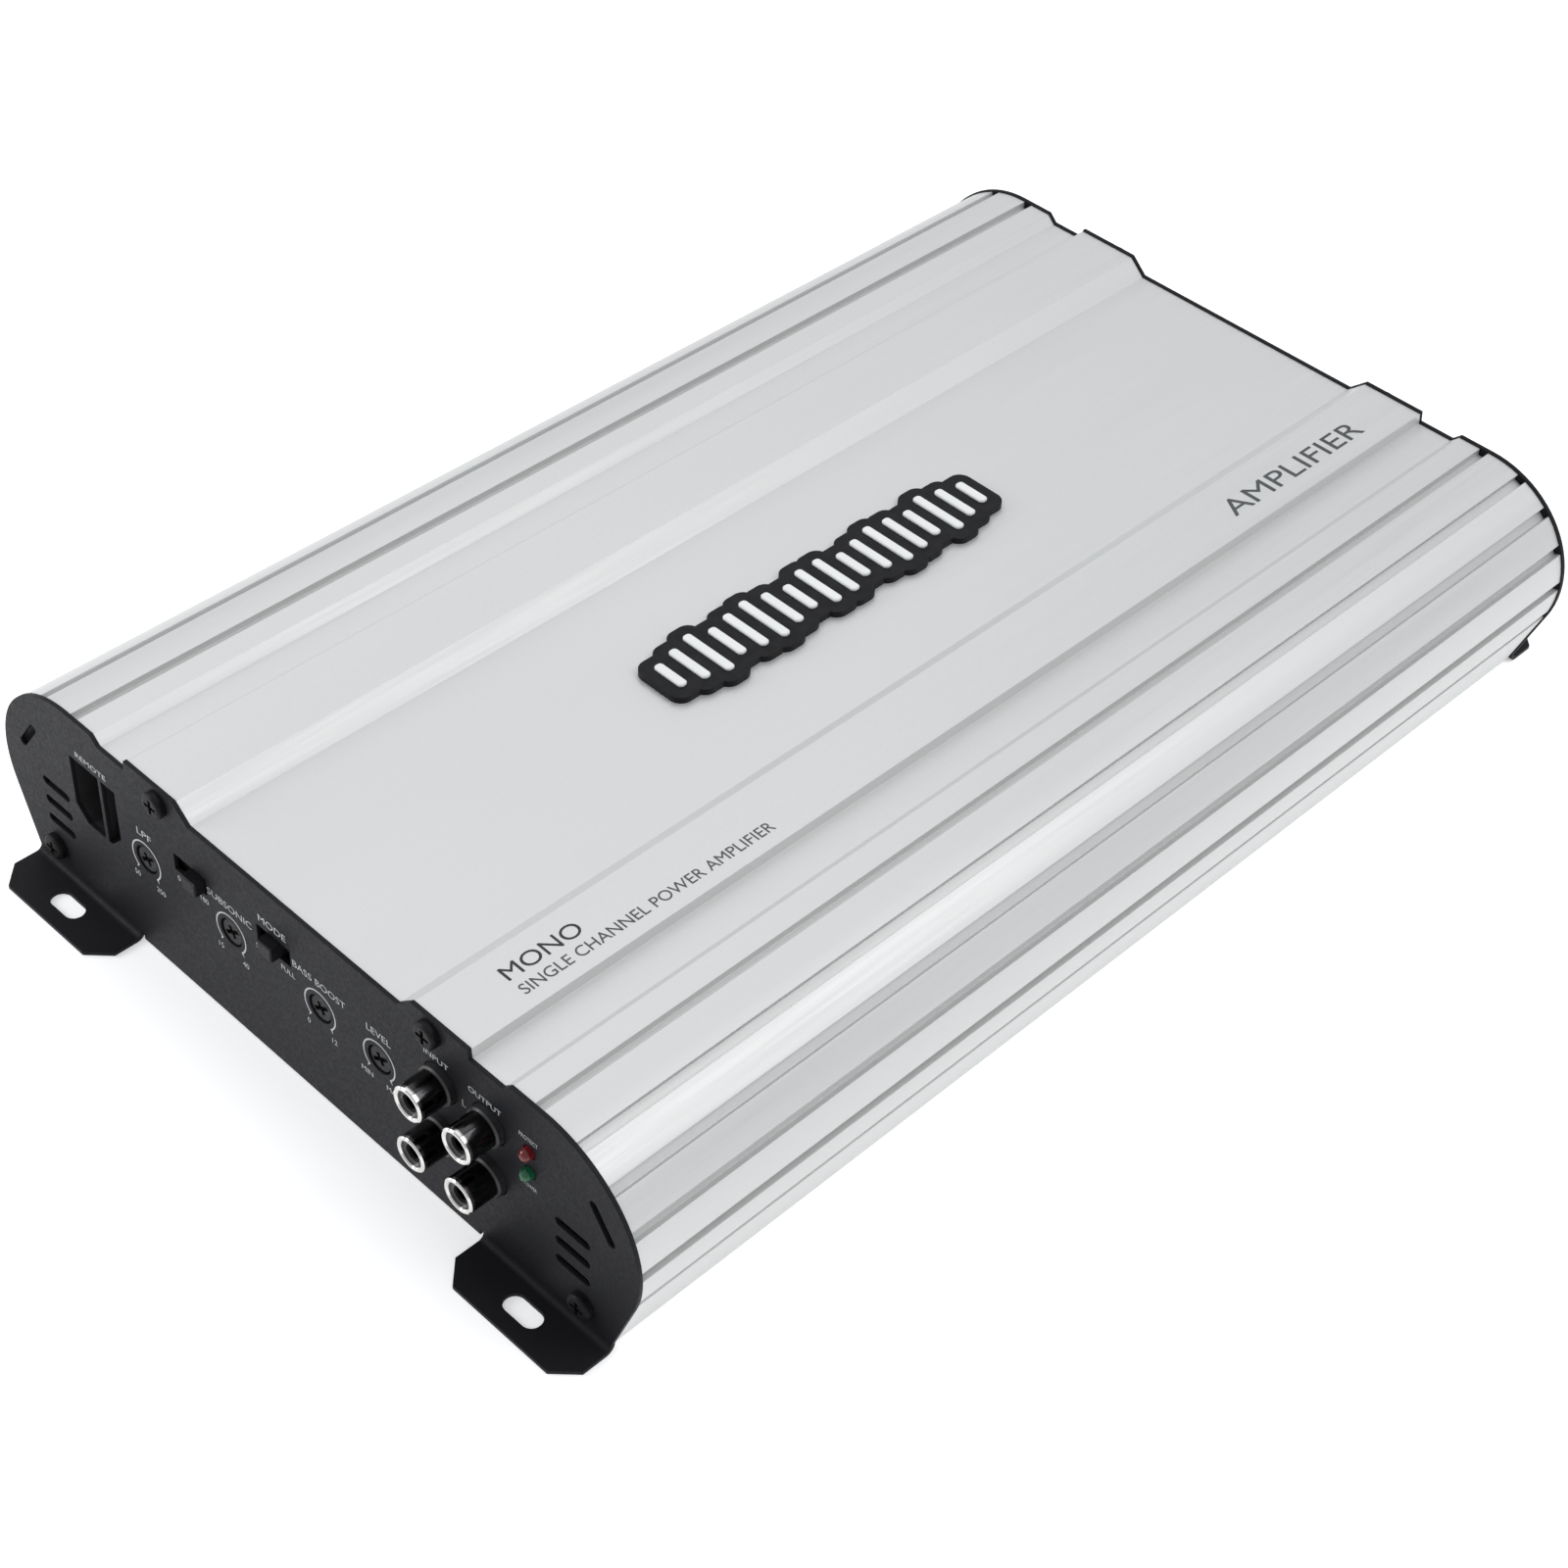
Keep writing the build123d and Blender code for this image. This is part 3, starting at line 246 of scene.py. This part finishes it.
def nickel_with_painted_dark_barrel(name, mouth_y):
    """The jacks' shells: bright nickel at the mouth; from about 1 mm behind it the colour turns dark, a painted
    reflection of the black panel in the barrel.
    """
    look = Look(name, (0.78, 0.77, 0.75), 0.14, 1.0)
    along = look.nodes.new("ShaderNodeSeparateXYZ")
    look.links.new(look.place, along.inputs["Vector"])
    ragged_noise = look.noise(500, detail=3.0)
    reach = look.combine("ADD", along.outputs["Y"], look.combine("MULTIPLY", ragged_noise, 0.4 * MM))
    # painted reflection: behind the mouth the barrel gets a dark colour that stands in for the black panel
    # mirrored in the nickel
    painted_reflection_share = look.spread(reach, 0, 1, mouth_y + 0.8 * MM, mouth_y + 1.4 * MM)
    look.colour(look.mix(painted_reflection_share, (0.7, 0.69, 0.67), (0.06, 0.06, 0.062)))
    look.roughness(look.spread(ragged_noise, 0.12, 0.2))
    look.relief(ragged_noise, 0.4, 0.01 * MM)


def circuit_board(name):
    """Green lacquer over blocks of copper."""
    look = Look(name, (0.02, 0.12, 0.05), 0.3)
    blocks = look.nodes.new("ShaderNodeTexBrick")
    look.links.new(look.place, blocks.inputs["Vector"])
    blocks.inputs["Scale"].default_value = 120
    blocks.inputs["Color1"].default_value = (0.018, 0.12, 0.05, 1)
    blocks.inputs["Color2"].default_value = (0.014, 0.09, 0.04, 1)
    blocks.inputs["Mortar"].default_value = (0.03, 0.2, 0.08, 1)
    look.colour(blocks.outputs["Color"])
    look.relief(look.noise(800), 0.3, 0.02 * MM)


def indicator_lens(name, colour, glow):
    """A tinted lens that glows faintly."""
    look = Look(name, colour, 0.15, IOR=1.5, Emission_Strength=0.03, Emission_Color=(*glow, 1))
    cloud = look.noise(400, detail=2.0)
    look.colour(look.mix(look.spread(cloud, 0, 1), tuple(c * 0.8 for c in colour), colour))
    look.relief(cloud, 0.2, 0.01 * MM)


drawn_aluminium("hood_aluminium")
powder_coat("panel_black")
nickel_with_painted_dark_barrel("nickel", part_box("rca_shells")[0][1])
circuit_board("board_green")
indicator_lens("lens_green", (0.008, 0.085, 0.035), (0.02, 0.3, 0.12))
indicator_lens("lens_red", (0.13, 0.008, 0.01), (0.4, 0.03, 0.03))

# metals
grained("cover_steel", (0.5, 0.51, 0.52), 0.38, 0.9, 700, 0.12, edge=FINE_EDGE)
grained("plated_steel", (0.62, 0.62, 0.6), 0.28, 1.0, 800, 0.1, edge=FINE_EDGE)
grained("brass_contact", (0.68, 0.55, 0.3), 0.25, 1.0, 600, 0.1)
grained("copper_wire", (0.6, 0.22, 0.08), 0.25, 0.9, 700, 0.15)
grained("screw_black", (0.006, 0.006, 0.007), 0.5, 0.0, 1500, 0.2, edge=FINE_EDGE, Specular_IOR_Level=0.15)

# the badge
grained(
    "badge_black", (0.004, 0.004, 0.005), 0.5, 0.0, 300, 0.1, 0.01 * MM, 0.3 * MM, Specular_IOR_Level=0.2
)
grained("badge_light", (0.75, 0.76, 0.76), 0.3, 0.0, 400, 0.05, 0.01 * MM, FINE_EDGE)

# plastics, rubber and ferrite
grained("black_plastic", (0.018, 0.018, 0.019), 0.45, 0.0, 900, 0.2)
grained("knob_plastic", (0.008, 0.008, 0.009), 0.5, 0.0, 900, 0.2, Specular_IOR_Level=0.25)
grained("lever_plastic", (0.006, 0.006, 0.007), 0.5, 0.0, 900, 0.2, edge=FINE_EDGE, Specular_IOR_Level=0.2)
grained("terminal_plastic", (0.02, 0.02, 0.021), 0.42, 0.0, 800, 0.2)
grained("fuse_plastic", (0.03, 0.36, 0.1), 0.2, 0.0, 300, 0.1, 0.01 * MM, FINE_EDGE)
grained("sleeve_plastic", (0.02, 0.03, 0.08), 0.3, 0.0, 300, 0.1)
grained("pad_rubber", (0.42, 0.42, 0.4), 0.8, 0.0, 900, 0.1)
grained("ferrite", (0.05, 0.052, 0.056), 0.6, 0.0, 700, 0.3)

# printing inks
grained("print_white", (0.4, 0.41, 0.42), 0.6, 0.0, 1500, 0.15)
grained("print_dark", (0.06, 0.065, 0.07), 0.6, 0.0, 1500, 0.25)
grained("print_black", (0.015, 0.016, 0.018), 0.6, 0.0, 1500, 0.25)

for part in frame["record"]["subparts"]:
    node = frame["nodes"][part["node"]]
    node.data.materials.clear()
    node.data.materials.append(looks[part["material_slot"]])

# ---------------------------------------------------------------- printing
INK = 0.04 * MM  # print stands this far off its surface
PANEL_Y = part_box("front_panel")[0][1]
REAR_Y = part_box("rear_panel")[1][1]
STRIP_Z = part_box("heatsink_shell")[1][2]


def turned(reading, tops):
    """The rotation that takes flat text, reading along +X with its tops towards +Y, to these directions."""
    reading, tops = Vector(reading), Vector(tops)
    return Matrix((reading, tops, reading.cross(tops))).transposed()


ON_PANEL = turned((1, 0, 0), (0, 0, 1))
ON_REAR = turned((-1, 0, 0), (0, 0, 1))
ON_STRIP = turned((0, 1, 0), (-1, 0, 0))


def print_piece(name, mesh, look, body="chassis"):
    """A printed mesh becomes a piece that rides on a body."""
    piece = bpy.data.objects.new(name, mesh)
    bpy.context.scene.collection.objects.link(piece)
    mesh.materials.clear()
    mesh.materials.append(looks[look])
    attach(piece, body)


def lettering(name, words, place, face, height, width=None, bold=0.0, look="print_white", body="chassis"):
    """Printed words of this height, and width if it is given, about the point place, all in metres."""
    curve = bpy.data.curves.new(name, "FONT")
    curve.body = words
    curve.align_x = "CENTER"
    curve.align_y = "CENTER"
    curve.offset = bold
    curve.resolution_u = 4
    text = bpy.data.objects.new(name + "_text", curve)
    bpy.context.scene.collection.objects.link(text)
    bpy.context.view_layer.update()
    mesh = bpy.data.meshes.new_from_object(text.evaluated_get(bpy.context.evaluated_depsgraph_get()))
    bpy.data.objects.remove(text)
    xs = [v.co.x for v in mesh.vertices]
    ys = [v.co.y for v in mesh.vertices]
    tall = height / (max(ys) - min(ys))
    wide = width / (max(xs) - min(xs)) if width else tall
    centre = Vector(((max(xs) + min(xs)) / 2, (max(ys) + min(ys)) / 2, 0))
    size = Matrix.Diagonal((wide, tall, 1, 1)) @ Matrix.Translation(-centre)
    mesh.transform(Matrix.Translation(place) @ face.to_4x4() @ size)
    print_piece(name, mesh, look, body)


def panel_words(name, words, x, z, height, width=None, bold=0.0):
    """White words on the control panel, in millimetres."""
    place = (x * MM, PANEL_Y - INK, z * MM)
    lettering(name, words, place, ON_PANEL, height * MM, width and width * MM, bold)


def rear_words(name, words, x, z, height, width=None):
    """White words on the back panel, in millimetres."""
    place = (x * MM, REAR_Y + INK, z * MM)
    lettering(name, words, place, ON_REAR, height * MM, width and width * MM)


# the control panel, in millimetres
DIAL_R = 4.9
DIAL_LINE = 0.4
DIAL_TICK = 1.0
DIAL_GAP = 80  # degrees left open at the bottom
DIAL_STEPS = 48
SMALL = 1.5  # height of the words at a control's ends
LABEL = 1.9  # height of a control's name
OVER_KNOB = 7.6
UNDER_KNOB = 6.6
OVER_SWITCH = 5.0
UNDER_SWITCH = 4.4
KNOB_END = 4.2  # to either side of a knob's middle
SWITCH_END = 4.4  # and of a switch's
JACK_BOLD = 0.006  # how much the words over the sockets are thickened, as a share of their size


def dial(name, x, z):
    """A printed arc round a control, open at the bottom, with a tick at each end."""
    mesh = bpy.data.meshes.new(name)
    shape = bmesh.new()
    first = math.radians(270 + DIAL_GAP / 2)
    sweep = math.radians(360 - DIAL_GAP)
    previous = None
    for step in range(DIAL_STEPS + 1):
        angle = first + sweep * step / DIAL_STEPS
        tick = DIAL_TICK if step in (0, DIAL_STEPS) else 0.0
        pair = [
            shape.verts.new(((x + r * math.cos(angle)) * MM, PANEL_Y - INK, (z + r * math.sin(angle)) * MM))
            for r in (DIAL_R - DIAL_LINE / 2, DIAL_R + DIAL_LINE / 2 + tick)
        ]
        if previous:
            shape.faces.new((previous[0], previous[1], pair[1], pair[0]))
        previous = pair
    shape.normal_update()
    if next(iter(shape.faces)).normal.y > 0:
        bmesh.ops.reverse_faces(shape, faces=shape.faces)
    shape.to_mesh(mesh)
    shape.free()
    print_piece(name, mesh, "print_white")


# each level control: its name, the words over it, their width, and the words at its two ends
for control, words, width, least, most in (
    ("crossover", "LPF", 5.1, "50", "250"),
    ("subsonic", "SUBSONIC", 15.1, "15", "40"),
    ("boost", "BASS BOOST", 17.0, "0", "12"),
    ("level", "LEVEL", 7.6, "MIN", "MAX"),
):
    centre = middle("knob_" + control) / MM
    dial("dial_" + control, centre.x, centre.z)
    panel_words("label_" + control, words, centre.x + 0.3, centre.z + OVER_KNOB, LABEL, width)
    panel_words("least_" + control, least, centre.x - KNOB_END, centre.z - UNDER_KNOB, SMALL)
    panel_words("most_" + control, most, centre.x + KNOB_END, centre.z - UNDER_KNOB, SMALL)


def window_x(control):
    """The middle of a slide switch's travel, in millimetres."""
    travel = next(j["range_m"] for j in frame["joints"] if j["child"] == control)
    return (middle(control).x + sum(travel) / 2) / MM


switch_z = middle("switch_bodies").z / MM
panel_words("label_mode", "MODE", window_x("lever_mode"), switch_z + OVER_SWITCH, LABEL, 9.0)
for control, left_words, right_words in (("phase", "0", "180"), ("mode", "SUB", "FULL")):
    x = window_x("lever_" + control)
    panel_words("left_" + control, left_words, x - SWITCH_END, switch_z - UNDER_SWITCH, SMALL)
    panel_words("right_" + control, right_words, x + SWITCH_END, switch_z - UNDER_SWITCH, SMALL)

remote = Vector((middle("remote_socket").x, 0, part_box("remote_socket")[1][2])) / MM
input_jack = mount("rca_upper_left_shell") / MM
output_jack = mount("rca_upper_right_shell") / MM
lower_jack = mount("rca_lower_right_shell") / MM
protect = middle("led_protect") / MM
power = middle("led_power") / MM
between_jacks = (input_jack.x + output_jack.x) / 2
panel_words("label_remote", "REMOTE", remote.x + 0.2, remote.z - 0.6, SMALL, 11.0, JACK_BOLD)
panel_words("label_input", "INPUT", input_jack.x - 0.9, input_jack.z + 6.3, SMALL, 7.4, JACK_BOLD)
panel_words("label_output", "OUTPUT", output_jack.x - 0.9, output_jack.z + 6.1, SMALL, 9.6, JACK_BOLD)
panel_words("label_left", "L", between_jacks, input_jack.z, 1.8)
panel_words("label_right", "R", between_jacks, lower_jack.z, 1.8)
panel_words("label_protect", "PROTECT", protect.x - 0.2, protect.z + 3.5, 1.2, 5.4)
panel_words("label_power", "POWER", power.x + 0.2, power.z - 4.1, 1.1, 3.6)

# the back panel, in millimetres
REAR_LABEL = 2.2
REAR_NAMES_Z = 39.5
REAR_TITLES_Z = 44.0
MINUS = "\u2013"

for terminal, words in (
    ("ground", "GND"),
    ("remote", "REM"),
    ("battery", "+12V"),
    ("speaker_minus", MINUS),
    ("speaker_plus", "+"),
):
    height = 0.5 if words == MINUS else REAR_LABEL
    rear_words("label_" + terminal, words, middle("screw_" + terminal).x / MM, REAR_NAMES_Z, height)
for group, words, block, z, width in (
    ("speaker", "SPEAKER", "speaker_terminal_block", REAR_TITLES_Z, 14.0),
    ("supply", "POWER", "power_terminal_block", REAR_TITLES_Z, 11.0),
    ("fuse", "FUSE", "fuse_holder", REAR_NAMES_Z, 8.0),
):
    rear_words("label_" + group, words, middle(block).x / MM, z, REAR_LABEL, width)
for number in (1, 2, 3):
    body = f"fuse_{number}"
    centre = middle(body + "_body")
    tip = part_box(body + "_body")[1][1]
    lettering(f"rating_{number}", "30", (centre.x, tip + INK, centre.z), ON_REAR, 2.0 * MM, body=body)

# the raised strip: words that read along the hood, in millimetres
for name, words, x, y_from, y_to, height, look in (
    ("print_mono", "MONO", 44.7, -137, -117, 4.0, "print_black"),
    ("print_kind", "SINGLE CHANNEL POWER AMPLIFIER", 50.1, -137, -68, 2.9, "print_dark"),
    ("print_rear", "AMPLIFIER", 47.3, 87, 138, 5.6, "print_dark"),
):
    place = (x * MM, (y_from + y_to) / 2 * MM, STRIP_Z + INK)
    lettering(name, words, place, ON_STRIP, height * MM, (y_to - y_from) * MM, look=look)

# ---------------------------------------------------------------- floor
HALF_FLOOR = 6.0
corners = [(x * HALF_FLOOR, y * HALF_FLOOR, 0) for x, y in ((-1, -1), (1, -1), (1, 1), (-1, 1))]
floor_mesh = bpy.data.meshes.new("floor")
floor_mesh.from_pydata(corners, [], [(0, 1, 2, 3)])
floor = bpy.data.objects.new("floor", floor_mesh)
bpy.context.scene.collection.objects.link(floor)
floor_look = Look("floor_white", (0.9, 0.9, 0.9), 0.7, Emission_Strength=0.4, Emission_Color=(1, 1, 1, 1))
floor_mesh.materials.append(floor_look.material)
